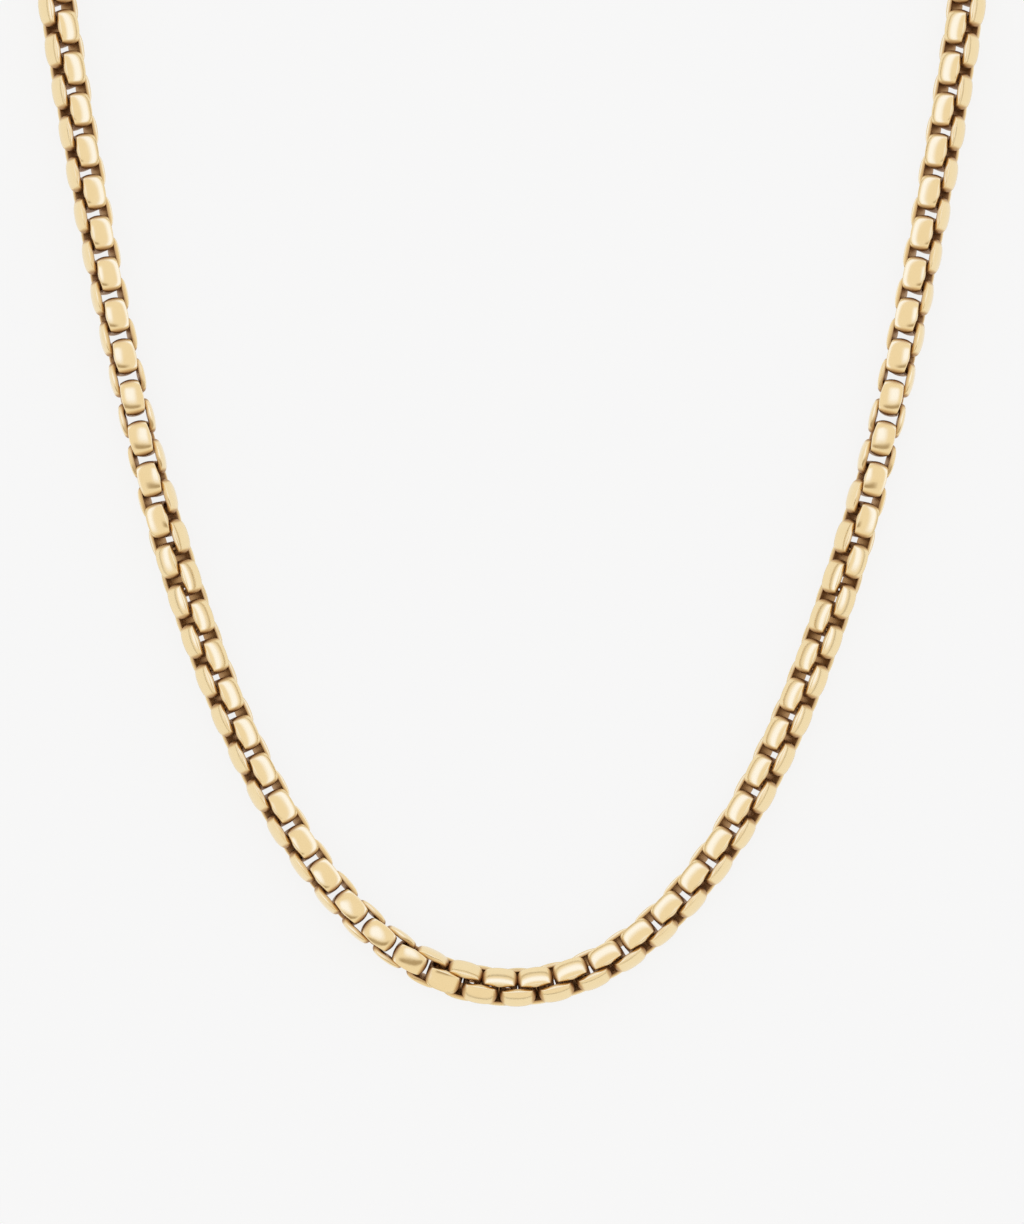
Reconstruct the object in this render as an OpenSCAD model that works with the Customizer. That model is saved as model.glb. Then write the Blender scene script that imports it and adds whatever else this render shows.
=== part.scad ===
// Round box chain necklace, laid out flat with its clasp undone.
// Z is up and the chain lies on the plane z = 0. The front of the necklace is at the low end of Y,
// and its two ends are at the high end, the clasp on the right.

/* [Chain] */
// Width of the chain across two opposite plates
chain_width = 4.9; // [4.8:0.05:5.0]
// Length of one link along the chain
link_length = 4.84; // [4.78:0.01:4.88]
// Distance from one link's centre to the next where the chain is pulled straight
link_pitch = 2.9; // [2.86:0.01:2.94]
// Width at mid-length of the strip that a link is bent from
strip_width = 2.92; // [2.8:0.02:3.0]
// Width of the strip at a link's ends
strip_end_width = 2.36; // [2.2:0.02:2.5]
// Radius of a plate's domed outer face, across the strip
crown_radius = 4.75; // [4:0.25:6]
// Radius of a plate's inner face, across the strip
inner_radius = 2.8; // [2.4:0.2:4]
// Thickness of a side plate at its crown
plate_thickness = 1.1; // [1.0:0.01:1.12]
// Thickness of a link's end bar at its middle
bar_thickness = 0.92; // [0.85:0.01:0.94]
// Radius of the rounded inner face of an end bar
bar_radius = 1.15; // [1.1:0.01:1.2]

/* [Drape] */
// Radius of the bend at the front of the necklace
front_radius = 24.6; // [22:0.1:28]
// Length along each arm that hangs as a catenary
arm_length = 158; // [150:1:165]
// Radius at which the rest of each arm turns towards the back of the neck
back_radius = 120; // [110:5:140]
// Length of chain, each side, that the loose links at the front take up
front_slack = 2.3; // [2:0.1:2.4]
// Number of links from the front over which that slack is spread
slack_links = 6.8; // [6.6:0.2:8]
// How far the front links have slid towards the left arm
front_drift = 0.5; // [0:0.1:0.6]
// Number of links from the front over which the links have slid
drift_links = 15; // [10:1:20]

/* [Rings] */
// Wire diameter of the two jump rings
ring_wire = 0.95; // [0.9:0.05:1.0]
// Inside diameter of the ring that the clasp catches
catch_ring_bore = 5.2; // [5:0.1:5.6]
// Inside diameter of the ring that holds the clasp
clasp_ring_bore = 5.05; // [5:0.05:5.1]

/* [Clasp] */
// Length of the clasp from the centre of its eye to its nose
clasp_length = 13.6; // [13:0.1:14]
// Width of the clasp's body
clasp_width = 7.2; // [7:0.1:7.6]
// Thickness of the clasp's body
clasp_thickness = 3.0; // [2.8:0.1:3.2]
// Inside diameter of the clasp's eye
eye_bore = 3.1; // [3.05:0.05:3.2]
// Diameter of the lever's pivot pin
pin_diameter = 0.8; // [0.7:0.05:0.9]

/* [Hidden] */
$fn = 64;
links_per_segment = 4;
segments_per_arm = 21;
front_links = [-2, 1];
gold = [0.93, 0.78, 0.50];
steel = [0.75, 0.75, 0.76];

// Height of the chain's centre line above the table.
axis_height = 2.66;

// The necklace's own reference point is the centre of the space it covers on the table,
// which lies this far behind the front of its centre line.
frame_y = 117.13;

// Twist stations: distance from the front along the arm, and how far the plates that face up
// at the very front are turned over towards the inside of the loop.
left_twist = [
    [0, 45], [4, 50], [8, 60], [12, 76], [15, 86], [20, 96], [26, 103], [31, 108], [37, 114], [43, 118],
    [54, 124], [66, 130], [72, 133], [78, 138], [84, 152], [92, 169], [99, 179], [109, 194], [127, 205],
    [155, 217], [246, 270]
];
right_twist = [
    [0, 45], [4, 43], [9, 39], [14, 34], [20, 30], [30, 30], [36, 32], [42, 35], [48, 38], [60, 41],
    [72, 46], [78, 50], [85, 62], [92, 78], [99, 90], [109, 106], [127, 117], [155, 127], [246, 135]
];

half_length = link_length / 2;
half_width = chain_width / 2;
window_half = half_width - plate_thickness;
strip_drop = (strip_width - strip_end_width) / 2;
bar_axis = half_length - bar_thickness + bar_radius;

// How far a plate's crown is lower, and its inner face wider apart, at the link's ends.
barrel_drop = 0.28;
window_flare = 0.3;
// The slanting cut on the link's four outer corners, and the bulge of its two ends.
corner_cut = 0.3;
end_bulge = 0.25;
// Where the outline of a plate's inner face has its points, as shares of the strip's half width.
inner_stations = [-1.2, -0.7, -0.25, 0.25, 0.7, 1.2];
// The space between the plates is cut this far past the link's ends.
window_overrun = 0.24;

// Play between the rings and the links that they hang in, and between the lever and the body.
ring_gap = 0.04;
running_gap = 0.06;

function asinh(t) = ln(t + sqrt(t * t + 1));
function tanh(t) = 1 - 2 / (exp(2 * t) + 1);

// Position and heading of the chain's centre line at a signed distance from the front.
bend_start = [front_radius * asinh(arm_length / front_radius),
              sqrt(pow(arm_length, 2) + pow(front_radius, 2)) - front_radius];
bend_heading = atan(arm_length / front_radius);
function arm_heading(s) = s <= arm_length ? atan(s / front_radius)
    : bend_heading + (s - arm_length) / back_radius * 180 / PI;
function arm_point(s) = s <= arm_length
    ? [front_radius * asinh(s / front_radius), sqrt(s * s + pow(front_radius, 2)) - front_radius]
    : bend_start + back_radius * [sin(arm_heading(s)) - sin(bend_heading),
                                  cos(bend_heading) - cos(arm_heading(s))];
function heading(s) = sign(s) * arm_heading(abs(s));
function point(s) = [sign(s) * arm_point(abs(s))[0], arm_point(abs(s))[1] - frame_y, axis_height];

// Distance of a link's centre from the front. Links are numbered from the front, negative to the left.
function link_arc(i) = let (n = i + 0.5)
    link_pitch * n - front_slack * tanh(n / slack_links) - front_drift * exp(-pow(n / drift_links, 2));

// How far a link's plates are turned from facing up towards the inside of the loop.
function link_roll(i) = let (s = link_arc(i))
    (i % 2 == 0 ? -90 : 0) + (s < 0 ? lookup(-s, left_twist) : lookup(s, right_twist));

function segment_name(side, k) = str("chain_", side, "_", k < 10 ? "0" : "", k);
function left_links(k) = [-links_per_segment * k + front_links[0],
                          -links_per_segment * (k - 1) + front_links[0] - 1];
function right_links(k) = [links_per_segment * (k - 1) + front_links[1] + 1,
                           links_per_segment * k + front_links[1]];

left_end = left_links(segments_per_arm)[0];
right_end = right_links(segments_per_arm)[1];

// ---- Chain link ----
// A link is a strip bent into a ring. Its own X runs along the chain, its plates face +Z and -Z,
// and its end bars join the plates at the two ends.

// Both plates' outer faces are domed across the strip.
module plate_crowns() {
    intersection_for(side = [-1, 1])
        translate([0, 0, side * (half_width - crown_radius)])
            rotate([0, 90, 0])
                cylinder(r = crown_radius, h = 2 * link_length, center = true);
}

// The link seen from its side: the plates bow towards each other at the ends, and their rims are cut.
module side_outline() {
    run = half_length - corner_cut;
    crown = [for (t = [-1:0.5:1]) [t * run, half_width - barrel_drop * pow(t * run / half_length, 2)]];
    tip = half_length + corner_cut;
    rim = crown[0][1] - (tip - run);
    upper = concat([[-tip, rim]], crown, [[tip, rim]]);
    polygon(concat(upper, [for (i = [len(upper) - 1:-1:0]) [upper[i][0], -upper[i][1]]]));
}

// The strip seen square on to a plate: it narrows towards its ends, and its ends bulge a little.
module strip_outline() {
    run = half_length - end_bulge;
    edge = [for (t = [-1:0.5:1]) [t * run, strip_width / 2 - strip_drop * t * t]];
    upper = concat(edge, [[half_length, 0]]);
    polygon(concat(upper, [for (i = [len(edge) - 1:-1:0]) [edge[i][0], -edge[i][1]]], [[-half_length, 0]]));
}

// The space between the plates, seen along the chain: their inner faces bulge towards its axis.
module window_across() {
    upper = [for (y = inner_stations * strip_width / 2)
        [y, window_half + inner_radius - sqrt(pow(inner_radius, 2) - y * y)]];
    polygon(concat(upper, [for (i = [len(upper) - 1:-1:0]) [upper[i][0], -upper[i][1]]]));
}

// The same space seen from the side: it flares towards the link's ends.
module window_along() {
    reach = half_length + window_overrun;
    upper = [for (t = [-1:0.5:1]) [t * reach, window_half + window_flare * t * t]];
    polygon(concat(upper, [for (i = [len(upper) - 1:-1:0]) [upper[i][0], -upper[i][1]]]));
}

module along_x(length) {
    rotate([90, 0, 90]) linear_extrude(length, center = true) children();
}

module along_y(length) {
    rotate([90, 0, 0]) linear_extrude(length, center = true) children();
}

module end_bars() {
    for (side = [-1, 1])
        translate([side * bar_axis, 0, 0])
            cylinder(r = bar_radius, h = chain_width, center = true);
}

module link() {
    difference() {
        intersection() {
            plate_crowns();
            along_y(chain_width) side_outline();
            linear_extrude(chain_width, center = true) strip_outline();
        }
        difference() {
            union() {
                along_x(1.5 * link_length) window_across();
                along_y(chain_width) window_along();
            }
            end_bars();
        }
    }
}

module at_station(i) {
    s = link_arc(i);
    translate(point(s))
        rotate([0, 0, heading(s)])
            children();
}

module at_link(i) {
    at_station(i)
        rotate([-link_roll(i), 0, 0])
            children();
}

module chain_segment(ends) {
    color(gold)
        for (i = [ends[0]:ends[1]])
            at_link(i) link();
}

// ---- Rings and clasp ----

module jump_ring(bore) {
    rotate_extrude()
        translate([(bore + ring_wire) / 2, 0])
            circle(d = ring_wire, $fn = 32);
}

// Where the near side of each ring lies, from the middle of the last link: just inside its end bar.
ring_near = bar_axis - bar_radius - ring_wire / 2 - ring_gap;

// The catch ring passes through its link below the link's middle, and its far side lies on the table.
catch_reach = catch_ring_bore + ring_wire;
catch_lift = -0.75;
catch_tilt = asin((axis_height + catch_lift - ring_wire / 2 - ring_gap) / catch_reach);

module catch_ring() {
    color(gold)
        at_station(left_end)
            mirror([1, 0, 0])
                translate([ring_near, 0, catch_lift])
                    rotate([0, catch_tilt, 0])
                        translate([catch_reach / 2, 0, 0])
                            jump_ring(catch_ring_bore);
}

clasp_reach = clasp_ring_bore + ring_wire;

module clasp_ring() {
    color(gold)
        at_link(right_end)
            translate([ring_near + clasp_reach / 2, 0, 0])
                jump_ring(clasp_ring_bore);
}

// The clasp lies flat beyond its ring, which passes through the eye on the slant.
// Its own X runs from the centre of its eye to its nose.
eye_rim = 0.9;
eye_height = 1.0;
// The eye is above the middle of the body's thickness, and its ring hangs a little slack in it.
eye_lift = 0.45;
eye_slack = 0.3;
ring_slant = 45;
eye_drop = axis_height - clasp_thickness / 2 - eye_lift;
eye_run = sqrt(pow(clasp_reach / 2, 2) - pow(eye_drop / sin(ring_slant), 2));
eye_offset = [ring_near + clasp_reach / 2 + eye_run - eye_slack, -eye_drop / tan(ring_slant)];

// The body tapers from its nose to its shoulder, behind which the eye stands out.
nose_radius = clasp_width / 2;
nose_x = clasp_length - nose_radius;
shoulder_radius = 2.3;
shoulder_x = 4.2;
// The round hole inside the hook.
hook_radius = 1.75;
hook_centre = [nose_x + 0.35, -0.45];

// The lever turns on the pivot, and its tip closes the gap at the gate's end.
pivot = [5.3, 0.75];
gate_end = [nose_x + 1.35, nose_radius - 1.05];
gate_angle = atan2(gate_end[1] - pivot[1], gate_end[0] - pivot[0]);
gate_length = norm(gate_end - pivot);
gate_start = 1.6;
gate_depth = 3.2;
gate_gap = 0.1;
slot_overrun = 0.5;
lever_root = 1.15;
lever_half_width = 0.75;
lever_thickness = 1.5;
lever_opening = 24;
thumb_radius = 0.7;
thumb_height = 2.4;
thumb_place = [gate_start + 1.1, lever_half_width + 0.3, 0];
spring_wire = 0.2;
spring_recess = 1.0;
spring_recess_depth = 0.3;

module at_clasp() {
    at_station(right_end)
        translate([eye_offset[0], eye_offset[1], clasp_thickness / 2 - axis_height])
            children();
}

module at_pivot() {
    translate([pivot[0], pivot[1], 0])
        children();
}

// Two circles on the X axis joined by their outer tangents.
module taper_outline(x1, r1, x2, r2) {
    lean = acos((r2 - r1) / (x1 - x2));
    translate([x1, 0]) circle(r1);
    translate([x2, 0]) circle(r2);
    polygon([for (end = [[x1, r1], [x2, r2]]) for (side = end[0] == x1 ? [-1, 1] : [1, -1])
        [end[0] + end[1] * cos(lean), side * end[1] * sin(lean)]]);
}

// What the lever sweeps over between shut and open, up to a given reach.
module lever_sweep(reach, gap) {
    half = lever_half_width + gap;
    intersection() {
        circle(norm([reach, half]));
        polygon([[0, 0], for (turn = [0, lever_opening])
            2 * reach * [cos(gate_angle - turn), sin(gate_angle - turn)]]);
    }
    for (turn = [0, lever_opening])
        rotate(gate_angle - turn)
            translate([0, -half])
                square([reach, 2 * half]);
}

// The opening in the rim that the lever closes, and the room inside the hook it opens into.
module gate_cut() {
    reach = gate_length + gate_gap;
    intersection() {
        lever_sweep(reach, gate_gap);
        rotate(gate_angle)
            translate([gate_start, -clasp_length])
                square([clasp_length, 2 * clasp_length]);
    }
    rotate(gate_angle)
        translate([gate_start, 0])
            square([reach - gate_start, gate_depth]);
}

// The slot between the body's two cheeks that the lever's root turns in.
module lever_slot() {
    circle(lever_root + running_gap);
    lever_sweep(gate_start + slot_overrun, running_gap);
}

module clasp_body() {
    bored = clasp_thickness + 1;
    color(gold)
        at_clasp()
            difference() {
                union() {
                    translate([0, 0, eye_lift])
                        cylinder(d = eye_bore + 2 * eye_rim, h = eye_height, center = true);
                    linear_extrude(clasp_thickness, center = true)
                        taper_outline(nose_x, nose_radius, shoulder_x, shoulder_radius);
                }
                cylinder(d = eye_bore, h = bored, center = true);
                translate([hook_centre[0], hook_centre[1], 0])
                    cylinder(r = hook_radius, h = bored, center = true);
                at_pivot() {
                    cylinder(d = pin_diameter, h = bored, center = true);
                    linear_extrude(bored, center = true) gate_cut();
                    linear_extrude(lever_thickness + 2 * running_gap, center = true) lever_slot();
                }
            }
}

module clasp_lever() {
    color(gold)
        at_clasp()
            at_pivot()
                difference() {
                    union() {
                        linear_extrude(lever_thickness, center = true) lever_outline();
                        rotate([0, 0, gate_angle])
                            translate(thumb_place)
                                cylinder(r = thumb_radius, h = thumb_height, center = true);
                    }
                    cylinder(d = pin_diameter + running_gap, h = clasp_thickness, center = true);
                    translate([0, 0, lever_thickness / 2 - spring_recess_depth])
                        cylinder(r = spring_recess, h = clasp_thickness);
                }
}

module lever_outline() {
    circle(lever_root);
    rotate(gate_angle)
        translate([0, -lever_half_width])
            square([gate_length, 2 * lever_half_width]);
}

module clasp_pivot_pin() {
    color(gold)
        at_clasp()
            at_pivot()
                cylinder(d = pin_diameter, h = clasp_thickness, center = true);
}

module clasp_spring() {
    color(steel)
        at_clasp()
            at_pivot()
                translate([0, 0, (lever_thickness - spring_recess_depth) / 2])
                    rotate_extrude()
                        translate([(pin_diameter / 2 + spring_recess) / 2, 0])
                            circle(d = spring_wire, $fn = 24);
}

// ---- The necklace ----

chain_segment(front_links);  // chain_front
for (k = [1:segments_per_arm]) {
    chain_segment(left_links(k));
    chain_segment(right_links(k));
}
catch_ring();
clasp_ring();
clasp_body();
clasp_lever();
clasp_pivot_pin();
clasp_spring();
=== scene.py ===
"""A round box chain necklace, laid out flat with its clasp undone.

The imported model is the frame. Each link of each chain node is found in the frame and a finely
shaped link takes its place. The clasp's body, lever and pin are rounded over like polished castings,
and the rings and the spring keep their CAD shapes.
"""
import math

import bmesh
import bpy
import numpy as np
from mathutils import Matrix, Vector
from mathutils.kdtree import KDTree


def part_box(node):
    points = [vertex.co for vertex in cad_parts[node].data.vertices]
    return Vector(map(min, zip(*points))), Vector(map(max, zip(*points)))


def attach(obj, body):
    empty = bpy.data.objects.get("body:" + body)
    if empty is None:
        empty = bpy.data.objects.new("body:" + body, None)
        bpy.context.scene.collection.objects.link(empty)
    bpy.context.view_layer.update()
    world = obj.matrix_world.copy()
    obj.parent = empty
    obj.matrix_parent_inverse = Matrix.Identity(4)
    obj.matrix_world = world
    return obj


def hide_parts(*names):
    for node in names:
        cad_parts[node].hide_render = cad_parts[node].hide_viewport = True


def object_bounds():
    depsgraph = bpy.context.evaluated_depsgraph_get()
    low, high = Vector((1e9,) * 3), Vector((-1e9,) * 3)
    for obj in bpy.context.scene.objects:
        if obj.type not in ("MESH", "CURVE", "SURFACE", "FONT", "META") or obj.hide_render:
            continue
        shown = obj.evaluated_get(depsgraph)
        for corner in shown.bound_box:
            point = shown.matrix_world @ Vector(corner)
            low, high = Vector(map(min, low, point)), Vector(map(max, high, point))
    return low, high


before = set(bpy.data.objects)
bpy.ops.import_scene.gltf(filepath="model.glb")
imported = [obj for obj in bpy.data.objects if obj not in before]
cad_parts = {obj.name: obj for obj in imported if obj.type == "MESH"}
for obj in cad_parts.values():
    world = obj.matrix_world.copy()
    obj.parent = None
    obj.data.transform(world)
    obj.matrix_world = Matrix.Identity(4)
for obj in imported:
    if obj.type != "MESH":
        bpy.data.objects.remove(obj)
cad_low, cad_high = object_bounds()

MM = 0.001

# ---- Driving dimensions, in metres ----

LINK_HALF_LENGTH = 2.42 * MM      # along the chain, at the strip's edges
END_BULGE = 0.11 * MM             # how much further the strip's middle reaches
LINK_HALF_WIDTH = 2.45 * MM       # from the chain's axis to a plate's crown
WINDOW_HALF_LENGTH = 1.50 * MM    # inside the link, along the chain
WINDOW_HALF_WIDTH = 1.35 * MM     # inside the link, between its plates
PLATE_BOW = 0.30 * MM             # how far a plate's crown drops from its middle to its ends
WINDOW_FLARE = 0.16 * MM          # how far the window widens from its middle to its ends
OUTER_SQUARENESS = 7.0            # superellipse powers of the link's outline and window
INNER_SQUARENESS = 5.0
STRIP_HALF_WIDTH = 1.55 * MM      # of the strip at the middle of a plate
STRIP_TIP_HALF_WIDTH = 1.30 * MM  # of the strip where it turns into an end bar
BAR_HALF_WIDTH = 1.06 * MM        # of the strip at the middle of an end bar
PLATE_CROWN_DROP = 0.24 * MM      # of the strip's outer face, from its middle to its edges
BAR_CROWN_DROP = 0.20 * MM
PLATE_BACK_RADIUS = 6.0 * MM      # of the strip's inner face, across the strip
BAR_BACK_RADIUS = 1.2 * MM
CROWN_POWER = 2.6                 # above 2 the outer face is flatter in its middle
RIM_DEPTH = 0.14 * MM             # how far the strip's rounded edges stand out
RIM_SQUARENESS = 3.4
SEAM_DEPTH = 0.035 * MM           # of the soldered joint across one end bar

# Where the link changes, from the first value to the second, as shares of its half length or half width.
PLATE_TO_BAR = (0.10, 0.75)       # below the crown, the strip turns from a plate into an end bar
BULGE_FROM = (0.60, 1.00)         # along the chain, the end's bulge rises
RECESS_SHADE_ALONG = (0.72, 0.92)       # along the chain, the painted shade of the recess deepens
RECESS_SHADE_BELOW = (0.15, 0.42)       # below the crown, the painted shade deepens too
RIM_SHADE = 0.35                 # how much painted shade the strip's rounded edges get, over their inner part
RIM_SHADE_FROM = (0.60, 1.00)

AROUND = 80                       # points round the link
ACROSS, RIM_POINTS = 32, 6        # points round the strip's section, and of them in each edge
EVEN_SAMPLES = 4001               # for measuring the link's outline


def smoothstep(value, low, high):
    t = np.clip((value - low) / (high - low), 0, 1)
    return t * t * (3 - 2 * t)


def superellipse(angles, half_x, half_z, power):
    cosine, sine = np.cos(angles), np.sin(angles)
    return (half_x * np.sign(cosine) * np.abs(cosine) ** (2 / power),
            half_z * np.sign(sine) * np.abs(sine) ** (2 / power))


# ---- Materials ----

HAZE_SCALE, HAZE_DETAIL = 700, 1       # soft cloudy patches of the polish, about 1.5 mm wide
GRAIN_SCALE, GRAIN_DETAIL = 9000, 2    # polishing marks, about 0.1 mm wide
GRAIN_STRENGTH, GRAIN_HEIGHT = 0.02, 0.002 * MM
GOLD_TONES = ((0.925, 0.735, 0.415, 1), (0.945, 0.765, 0.450, 1))
GOLD_ROUGHNESS = (0.12, 0.15)
COAT, COAT_ROUGHNESS, COAT_IOR = 0.2, 0.14, 1.6
RECESS_SHADE_HALFWAY = 0.45                  # where the first brown of the painted shade in recesses is reached
# painted shade: browns that darken the gold deep in the chain, between the links and at the plates' ends
RECESS_SHADE_BROWNS = ((0.84, 0.735, 0.59, 1), (0.50, 0.355, 0.245, 1))
RECESS_ROUGHNESS = 0.30                # added where the recess is deepest
STEEL_SCALE, STEEL_DETAIL = 6000, 2
STEEL_TONES = ((0.60, 0.60, 0.62, 1), (0.74, 0.74, 0.76, 1))
STEEL_ROUGHNESS = (0.22, 0.34)
NOISE_LOW, NOISE_HIGH = 0.3, 0.7       # the range that a noise's value mostly keeps to


def new_material(name):
    material = bpy.data.materials.new(name)
    material.use_nodes = True
    return material, material.node_tree.nodes, material.node_tree.links


def object_noise(nodes, links, coordinates, scale, detail):
    noise = nodes.new("ShaderNodeTexNoise")
    noise.inputs["Scale"].default_value = scale
    noise.inputs["Detail"].default_value = detail
    links.new(coordinates, noise.inputs["Vector"])
    return noise.outputs["Fac"]


def map_range(nodes, links, value, low, high):
    node = nodes.new("ShaderNodeMapRange")
    node.inputs["From Min"].default_value = NOISE_LOW
    node.inputs["From Max"].default_value = NOISE_HIGH
    node.inputs["To Min"].default_value = low
    node.inputs["To Max"].default_value = high
    links.new(value, node.inputs["Value"])
    return node.outputs["Result"]


def two_tones(nodes, links, factor, tones):
    node = nodes.new("ShaderNodeMix")
    node.data_type = "RGBA"
    node.inputs["A"].default_value, node.inputs["B"].default_value = tones
    links.new(factor, node.inputs["Factor"])
    return node.outputs["Result"]


def gold_material(name, shade_recesses):
    """Polished yellow gold with a faint haze. Where the mesh's recess mask is high, painted shade turns it
    brown, and it is duller.
    """
    material, nodes, links = new_material(name)
    shader = nodes["Principled BSDF"]
    shader.inputs["Metallic"].default_value = 1.0
    shader.inputs["Coat Weight"].default_value = COAT
    shader.inputs["Coat Roughness"].default_value = COAT_ROUGHNESS
    shader.inputs["Coat IOR"].default_value = COAT_IOR
    coordinates = nodes.new("ShaderNodeTexCoord").outputs["Object"]
    haze = object_noise(nodes, links, coordinates, HAZE_SCALE, HAZE_DETAIL)
    grain = object_noise(nodes, links, coordinates, GRAIN_SCALE, GRAIN_DETAIL)
    colour = two_tones(nodes, links, haze, GOLD_TONES)
    roughness = map_range(nodes, links, haze, *GOLD_ROUGHNESS)
    if shade_recesses:
        recess_shade = nodes.new("ShaderNodeAttribute")
        recess_shade.attribute_name = "recess_shade"
        ramp = nodes.new("ShaderNodeValToRGB")
        ramp.color_ramp.elements[0].color = (1, 1, 1, 1)
        ramp.color_ramp.elements[1].color = RECESS_SHADE_BROWNS[1]
        halfway = ramp.color_ramp.elements.new(RECESS_SHADE_HALFWAY)
        halfway.color = RECESS_SHADE_BROWNS[0]
        links.new(recess_shade.outputs["Fac"], ramp.inputs["Fac"])
        # painted shade: the recess browns multiply the gold's colour
        painted_shade = nodes.new("ShaderNodeMix")
        painted_shade.data_type = "RGBA"
        painted_shade.blend_type = "MULTIPLY"
        painted_shade.inputs["Factor"].default_value = 1.0
        links.new(colour, painted_shade.inputs["A"])
        links.new(ramp.outputs["Color"], painted_shade.inputs["B"])
        colour = painted_shade.outputs["Result"]
        clear = nodes.new("ShaderNodeMapRange")
        clear.inputs["To Min"].default_value = COAT
        clear.inputs["To Max"].default_value = 0.0
        links.new(recess_shade.outputs["Fac"], clear.inputs["Value"])
        links.new(clear.outputs["Result"], shader.inputs["Coat Weight"])
        dull = nodes.new("ShaderNodeMath")
        dull.operation = "MULTIPLY_ADD"
        dull.inputs[1].default_value = RECESS_ROUGHNESS
        links.new(recess_shade.outputs["Fac"], dull.inputs[0])
        links.new(roughness, dull.inputs[2])
        roughness = dull.outputs[0]
    links.new(colour, shader.inputs["Base Color"])
    links.new(roughness, shader.inputs["Roughness"])
    bump = nodes.new("ShaderNodeBump")
    bump.inputs["Strength"].default_value = GRAIN_STRENGTH
    bump.inputs["Distance"].default_value = GRAIN_HEIGHT
    links.new(grain, bump.inputs["Height"])
    links.new(bump.outputs["Normal"], shader.inputs["Normal"])
    return material


def steel_material():
    material, nodes, links = new_material("spring_steel")
    shader = nodes["Principled BSDF"]
    shader.inputs["Metallic"].default_value = 1.0
    coordinates = nodes.new("ShaderNodeTexCoord").outputs["Object"]
    drawn = object_noise(nodes, links, coordinates, STEEL_SCALE, STEEL_DETAIL)
    links.new(two_tones(nodes, links, drawn, STEEL_TONES), shader.inputs["Base Color"])
    links.new(map_range(nodes, links, drawn, *STEEL_ROUGHNESS), shader.inputs["Roughness"])
    return material


GOLD_CHAIN = gold_material("gold_chain", shade_recesses=True)
GOLD = gold_material("gold", shade_recesses=False)
STEEL = steel_material()


# ---- One chain link ----

def link_surface():
    """The link's points, faces and how deep in the chain each point lies, 0 on the plates' outer faces,
    which sets its painted shade.

    X runs along the chain and the plates face +Z and -Z. Each ring of points is a section of the strip.
    """
    # Even spacing along the outline keeps the faces regular.
    fine = np.linspace(0, 2 * math.pi, EVEN_SAMPLES)
    x, z = superellipse(fine, LINK_HALF_LENGTH, LINK_HALF_WIDTH, OUTER_SQUARENESS)
    run = np.concatenate([[0], np.cumsum(np.hypot(np.diff(x), np.diff(z)))])
    around = np.interp(np.arange(AROUND) / AROUND * run[-1], run, fine)
    outer_x, outer_z = superellipse(around, LINK_HALF_LENGTH, LINK_HALF_WIDTH, OUTER_SQUARENESS)
    inner_x, inner_z = superellipse(around, WINDOW_HALF_LENGTH, WINDOW_HALF_WIDTH, INNER_SQUARENESS)
    along = outer_x / LINK_HALF_LENGTH
    outer_z = outer_z * (1 - PLATE_BOW / LINK_HALF_WIDTH * along ** 2)
    inner_z = inner_z * (1 + WINDOW_FLARE / WINDOW_HALF_WIDTH * along ** 2)

    outer = np.stack([outer_x, outer_z], 1)
    inner = np.stack([inner_x, inner_z], 1)
    thickness = np.linalg.norm(outer - inner, axis=1)
    inward = (inner - outer) / thickness[:, None]
    bar = smoothstep(1 - np.abs(outer_z) / LINK_HALF_WIDTH, *PLATE_TO_BAR)

    half_width = STRIP_HALF_WIDTH + (STRIP_TIP_HALF_WIDTH - STRIP_HALF_WIDTH) * along ** 2
    half_width = half_width + (BAR_HALF_WIDTH - half_width) * bar
    crown = PLATE_CROWN_DROP + (BAR_CROWN_DROP - PLATE_CROWN_DROP) * bar
    back = 1 / (1 / PLATE_BACK_RADIUS + (1 / BAR_BACK_RADIUS - 1 / PLATE_BACK_RADIUS) * bar)

    points = np.zeros((AROUND, ACROSS, 3))
    recess_shade = np.zeros((AROUND, ACROSS))
    for i in range(AROUND):
        section, depth_share = strip_section(half_width[i], thickness[i], crown[i], back[i])
        points[i, :, 0] = outer[i, 0] + inward[i, 0] * section[:, 1]
        points[i, :, 2] = outer[i, 1] + inward[i, 1] * section[:, 1]
        points[i, :, 1] = section[:, 0]
        recess_shade[i] = depth_share
        bulge = END_BULGE * smoothstep(abs(along[i]), *BULGE_FROM)
        points[i, :, 0] += np.sign(along[i]) * bulge * (1 - (section[:, 0] / half_width[i]) ** 2)
    # painted shade: darker towards the link's ends and below the plates' crowns, where it lies deep in the
    # chain
    end = smoothstep(np.abs(points[..., 0]) / LINK_HALF_LENGTH, *RECESS_SHADE_ALONG)
    low = smoothstep(1 - np.abs(points[..., 2]) / LINK_HALF_WIDTH, *RECESS_SHADE_BELOW)
    recess_shade = np.maximum(recess_shade, np.maximum(end, low))

    seam = np.argmax(outer_x)
    points[seam, :, 0] -= SEAM_DEPTH
    faces = [(i * ACROSS + j, i * ACROSS + (j + 1) % ACROSS,
              ((i + 1) % AROUND) * ACROSS + (j + 1) % ACROSS, ((i + 1) % AROUND) * ACROSS + j)
             for i in range(AROUND) for j in range(ACROSS)]
    return points.reshape(-1, 3), faces, recess_shade.reshape(-1)


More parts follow.
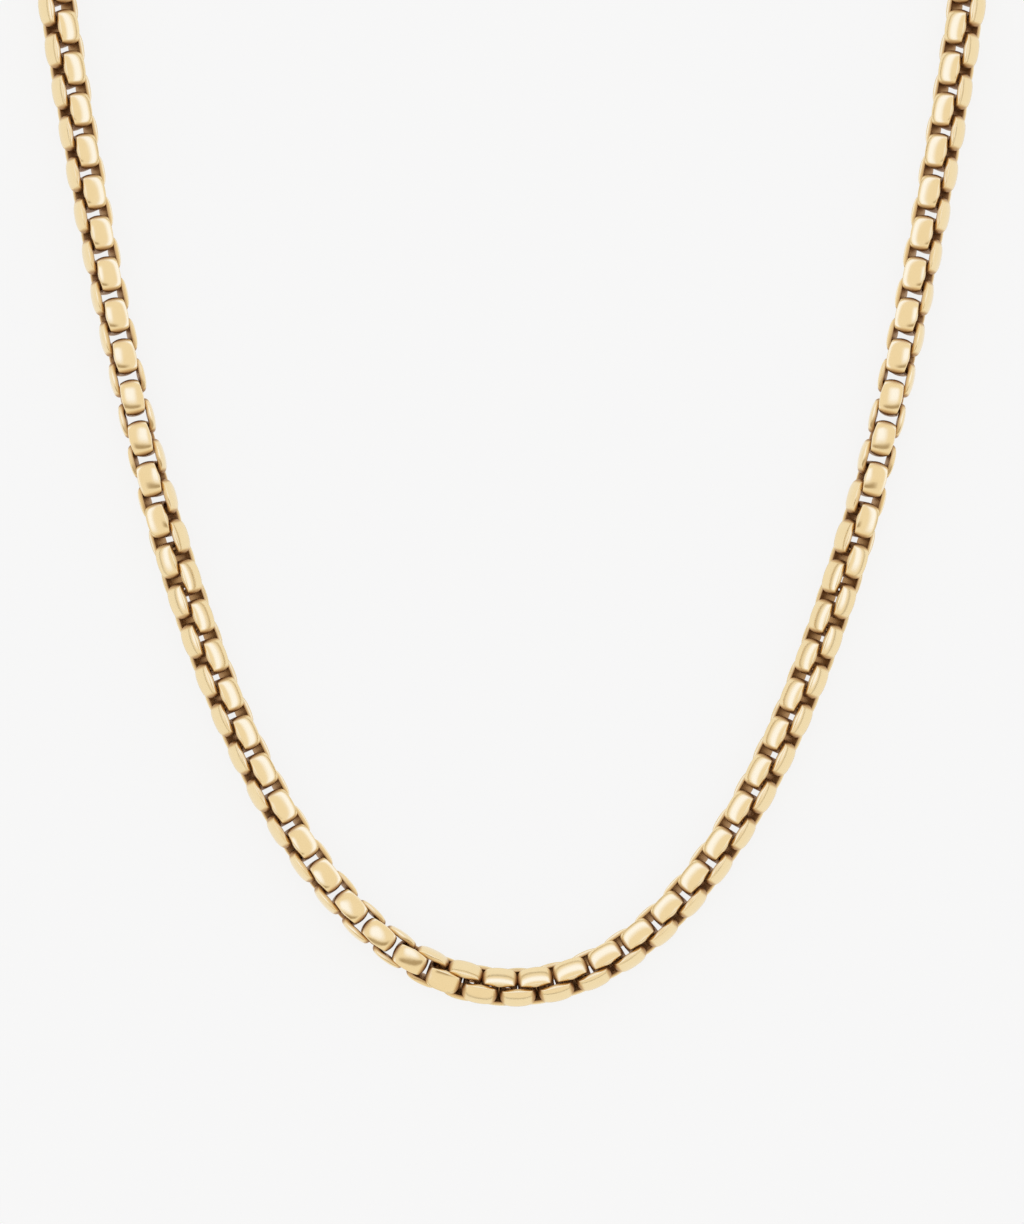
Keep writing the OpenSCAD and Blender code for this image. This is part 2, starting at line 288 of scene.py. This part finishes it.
def strip_section(half_width, thickness, crown, back):
    """Points round the strip's section as (across, depth below the crown), and its painted shade, 0 outside
    to 1 inside.
    """
    def top(y):
        return crown * np.abs(y / half_width) ** CROWN_POWER

    def bottom(y):
        return thickness - back + np.sqrt(back ** 2 - y ** 2)

    y_rim = half_width - RIM_DEPTH
    centre = 0.5 * (top(y_rim) + bottom(y_rim))
    rim_half = 0.5 * (bottom(y_rim) - top(y_rim))
    face = ACROSS // 2 - RIM_POINTS
    y = np.sin(np.linspace(-1, 1, face) * math.pi / 2) * y_rim
    turn = np.linspace(0, math.pi, RIM_POINTS + 2)[1:-1]
    sine, cosine = np.sin(turn), np.cos(turn)
    power = 2 / RIM_SQUARENESS
    right = np.stack([y_rim + RIM_DEPTH * sine ** power,
                      centre - rim_half * np.sign(cosine) * np.abs(cosine) ** power], 1)
    section = np.concatenate([
        np.stack([y, top(y)], 1), right,
        np.stack([y[::-1], bottom(y[::-1])], 1), right[::-1] * [-1, 1]])
    # painted shade on the inner part of the rounded edges
    rim_shade = RIM_SHADE * smoothstep(np.arange(RIM_POINTS) / (RIM_POINTS - 1), *RIM_SHADE_FROM)
    inside = np.concatenate([np.zeros(face), rim_shade, np.ones(face), rim_shade[::-1]])
    return section, inside


# ---- Where the links lie ----

def islands(mesh):
    """Each separate solid of a mesh, as arrays of its triangles' corners."""
    solid = bmesh.new()
    solid.from_mesh(mesh)
    bmesh.ops.remove_doubles(solid, verts=solid.verts, dist=1e-7)
    bmesh.ops.triangulate(solid, faces=solid.faces)
    solid.verts.ensure_lookup_table()
    left = set(solid.faces)
    found = []
    while left:
        stack = [left.pop()]
        members = [stack[0]]
        while stack:
            face = stack.pop()
            for edge in face.edges:
                for other in edge.link_faces:
                    if other in left:
                        left.remove(other)
                        stack.append(other)
                        members.append(other)
        found.append(np.array([[v.co for v in face.verts] for face in members], float))
    solid.free()
    return found


def solid_frame(triangles):
    """A link's place: its middle, with X along the chain and Z square to its plates."""
    a, b, c = triangles[:, 0], triangles[:, 1], triangles[:, 2]
    base = triangles.reshape(-1, 3).mean(0)
    a, b, c = a - base, b - base, c - base
    volumes = np.einsum("ij,ij->i", a, np.cross(b, c)) / 6
    middle = ((a + b + c) / 4 * volumes[:, None]).sum(0) / volumes.sum()
    a, b, c = a - middle, b - middle, c - middle
    total = a + b + c
    second = sum(np.einsum("i,ij,ik->jk", volumes, p, p) for p in (a, b, c, total)) / 20
    # From the thinnest to the widest way: across the strip, along the chain, from plate to plate.
    spread = np.linalg.eigh(second / volumes.sum())[1]
    along, plate = spread[:, 1], spread[:, 2]
    middle = middle + base
    # The chain lies flat, so its direction is level. It runs anticlockwise round the loop.
    along[2] = 0
    along /= np.linalg.norm(along)
    if np.dot(along, np.cross([0, 0, 1], [middle[0], middle[1], 0])) < 0:
        along = -along
    plate = plate - along * np.dot(plate, along)
    plate /= np.linalg.norm(plate)
    if plate[2] < 0:
        plate = -plate
    return middle, np.stack([along, np.cross(plate, along), plate], 1)


def add_mesh(name, points, faces, material):
    mesh = bpy.data.meshes.new(name)
    mesh.from_pydata([tuple(p) for p in points], [], faces)
    mesh.polygons.foreach_set("use_smooth", [True] * len(faces))
    mesh.materials.append(material)
    mesh.update()
    piece = bpy.data.objects.new(name, mesh)
    bpy.context.scene.collection.objects.link(piece)
    return piece


def chain_piece(node, link_points, link_faces, link_recess_shade):
    """All the links of one chain node, in the places where the frame has them."""
    points, faces, recess_shade = [], [], []
    for triangles in islands(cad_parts[node].data):
        middle, axes = solid_frame(triangles)
        start = len(link_points) * len(points)
        points.append(link_points @ axes.T + middle)
        faces += [tuple(start + k for k in face) for face in link_faces]
        recess_shade.append(link_recess_shade)
    piece = add_mesh(node + "_links", np.concatenate(points), faces, GOLD_CHAIN)
    # the recess mask, which the chain's material reads as painted shade
    attribute = piece.data.attributes.new("recess_shade", "FLOAT", "POINT")
    attribute.data.foreach_set("value", np.concatenate(recess_shade).astype(np.float32))
    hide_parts(node)
    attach(piece, node)


LINK = link_surface()
for node_name in sorted(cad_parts):
    if node_name.startswith("chain_"):
        chain_piece(node_name, *LINK)


# ---- Rings and clasp ----

DOME_DROP = 0.20                  # share of the clasp's half thickness that its top loses at its edges
DOME_REACH = 2.2 * MM             # from an edge to where the top is at its full height
WALL_BAND = (0.55, 0.80)          # the heights, as shares of the half thickness, that show where walls stand


def cast_piece(node, body, voxel, smoothings):
    """A node's own shape with all its edges rounded over, as on a polished casting."""
    piece = bpy.data.objects.new(node + "_cast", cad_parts[node].data.copy())
    bpy.context.scene.collection.objects.link(piece)
    remesh = piece.modifiers.new("remesh", "REMESH")
    remesh.mode = "VOXEL"
    remesh.voxel_size = voxel
    smooth = piece.modifiers.new("smooth", "SMOOTH")
    smooth.iterations = smoothings
    smoothed = piece.evaluated_get(bpy.context.evaluated_depsgraph_get())
    mesh = bpy.data.meshes.new_from_object(smoothed)
    piece.modifiers.clear()
    piece.data = mesh
    mesh.polygons.foreach_set("use_smooth", [True] * len(mesh.polygons))
    mesh.materials.clear()
    mesh.materials.append(GOLD)
    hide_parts(node)
    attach(piece, body)
    return piece


def dome_top(piece):
    """Lowers a flat top towards its edges. Its underside stays flat."""
    mesh = piece.data
    points = np.zeros(len(mesh.vertices) * 3)
    mesh.vertices.foreach_get("co", points)
    points = points.reshape(-1, 3)
    middle = 0.5 * (points[:, 2].min() + points[:, 2].max())
    half = points[:, 2].max() - middle
    height = (points[:, 2] - middle) / half
    walls = points[(height > WALL_BAND[0]) & (height < WALL_BAND[1])]
    tree = KDTree(len(walls))
    for index, point in enumerate(walls):
        tree.insert((point[0], point[1], 0), index)
    tree.balance()
    for index in np.nonzero(height > 0)[0]:
        edge = tree.find((points[index, 0], points[index, 1], 0))[2]
        lowered = DOME_DROP * (1 - min(edge / DOME_REACH, 1)) ** 2
        points[index, 2] = middle + half * height[index] * (1 - lowered)
    mesh.vertices.foreach_set("co", points.reshape(-1))
    mesh.update()


dome_top(cast_piece("clasp_body", "clasp", voxel=0.09 * MM, smoothings=10))
cast_piece("clasp_lever", "clasp_lever", voxel=0.06 * MM, smoothings=8)
cast_piece("clasp_pivot_pin", "clasp", voxel=0.04 * MM, smoothings=4)
for node_name, node_material in (("catch_ring", GOLD), ("clasp_ring", GOLD), ("clasp_spring", STEEL)):
    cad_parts[node_name].data.materials.clear()
    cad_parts[node_name].data.materials.append(node_material)


# ---- Table, light and camera ----

PHOTO_HEIGHT = 0.170          # what the picture's height covers at the chain, in metres
FRONT_BELOW_MIDDLE = 0.0521   # how far below the picture's middle the front of the chain hangs
AXIS_INSET = 2.62 * MM        # from the necklace's foremost point to its chain's axis
LENS, SENSOR = 135.0, 36.0    # in millimetres
CLIP_START, CLIP_END = 0.01, 10

front_low, front_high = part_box("chain_front")
axis_height = (front_low.z + front_high.z) / 2
target = Vector((0, cad_low.y + AXIS_INSET + FRONT_BELOW_MIDDLE, axis_height))

camera_data = bpy.data.cameras.new("camera")
camera_data.sensor_fit = "AUTO"
camera_data.sensor_width = SENSOR
camera_data.lens = LENS
camera = bpy.data.objects.new("camera", camera_data)
camera.location = target + Vector((0, 0, LENS / SENSOR * PHOTO_HEIGHT))
camera_data.clip_start, camera_data.clip_end = CLIP_START, CLIP_END
bpy.context.scene.collection.objects.link(camera)
bpy.context.scene.camera = camera


TABLE_SIZE = 8
TABLE_LEVEL = -0.05 * MM      # just below the lowest corners of the finely shaped links
TABLE_COLOUR = (0.10, 0.10, 0.10, 1)
TABLE_GLOW, TABLE_GLOW_STRENGTH = (1, 0.998, 0.99, 1), 0.84


def table():
    """A pale lit table, which keeps only the faintest shadow of the necklace."""
    bpy.ops.mesh.primitive_plane_add(size=TABLE_SIZE, location=(0, 0, TABLE_LEVEL))
    plane = bpy.context.active_object
    plane.name = "table"
    material, nodes, links = new_material("table")
    shader = nodes["Principled BSDF"]
    shader.inputs["Base Color"].default_value = TABLE_COLOUR
    shader.inputs["Roughness"].default_value = 1.0
    shader.inputs["Specular IOR Level"].default_value = 0.0
    shader.inputs["Emission Color"].default_value = TABLE_GLOW
    shader.inputs["Emission Strength"].default_value = TABLE_GLOW_STRENGTH
    plane.data.materials.append(material)


TENT = (0.92, 0.88, 0.82, 1)       # warm white cloth all round
WINDOW = (1.07, 1.22, 1.72, 1)     # cool daylight through the roof and above the table's edge
SHADE = (0.45, 0.37, 0.27, 1)      # a dim warm screen in front of the window
LOW = (0.36, 0.33, 0.30, 1)        # near the table's level

# Where each of them is, as (low, high, blur). Side and forward are X and Y over the height, so they are
# measured in a roof one unit up; height and back are Z and Y of the direction itself.
EVER = 2                           # past any direction's end
WINDOW_SIDE, WINDOW_FORWARD = (-0.24, 0.24, 0.10), (-0.06, 0.42, 0.10)
SHADE_SIDE, SHADE_FORWARD = (-0.55, 0.55, 0.15), (-0.42, -0.18, 0.05)
RING_HEIGHT, RING_BACK = (0.22, 0.54, 0.07), (-0.45, EVER, 0.15)
TENT_HEIGHT = (0.05, EVER, 0.05)
LEAST_HEIGHT = 0.02                # keeps side and forward finite at the horizon
BLEND_ROUNDING = 0.3


def studio():
    """A white tent, with a bright window in its roof and round its walls, and a shade beside the window."""
    world = bpy.data.worlds.new("studio")
    bpy.context.scene.world = world
    world.use_nodes = True
    nodes, links = world.node_tree.nodes, world.node_tree.links
    direction = nodes.new("ShaderNodeTexCoord").outputs["Generated"]
    split = nodes.new("ShaderNodeSeparateXYZ")
    links.new(direction, split.inputs["Vector"])

    def math_node(operation, *values):
        node = nodes.new("ShaderNodeMath")
        node.operation = operation
        for socket, value in zip(node.inputs, values):
            if isinstance(value, (int, float)):
                socket.default_value = value
            else:
                links.new(value, socket)
        return node.outputs[0]

    def band(value, low, high, blur):
        """1 between low and high, fading to 0 over blur."""
        rise = math_node("DIVIDE", math_node("SUBTRACT", value, low - blur), 2 * blur)
        fall = math_node("DIVIDE", math_node("SUBTRACT", high + blur, value), 2 * blur)
        both = math_node("MINIMUM", rise, fall)
        return math_node("SMOOTH_MIN", math_node("MAXIMUM", both, 0), 1, BLEND_ROUNDING)

    height = math_node("MAXIMUM", split.outputs["Z"], LEAST_HEIGHT)
    side = math_node("DIVIDE", split.outputs["X"], height)
    forward = math_node("DIVIDE", split.outputs["Y"], height)
    above = band(split.outputs["Z"], *TENT_HEIGHT)
    window = math_node("MULTIPLY", band(side, *WINDOW_SIDE), band(forward, *WINDOW_FORWARD))
    shade = math_node("MULTIPLY", band(side, *SHADE_SIDE), band(forward, *SHADE_FORWARD))
    ring = math_node("MULTIPLY", band(split.outputs["Z"], *RING_HEIGHT),
                     band(split.outputs["Y"], *RING_BACK))

    def blend(factor, first, second):
        node = nodes.new("ShaderNodeMix")
        node.data_type = "RGBA"
        links.new(factor, node.inputs["Factor"])
        for socket, value in ((node.inputs["A"], first), (node.inputs["B"], second)):
            if isinstance(value, tuple):
                socket.default_value = value
            else:
                links.new(value, socket)
        return node.outputs["Result"]

    light = blend(math_node("MAXIMUM", window, ring), TENT, WINDOW)
    light = blend(shade, light, SHADE)
    light = blend(above, LOW, light)
    links.new(light, nodes["Background"].inputs["Color"])


table()
studio()
bpy.context.scene.view_settings.view_transform = "Standard"
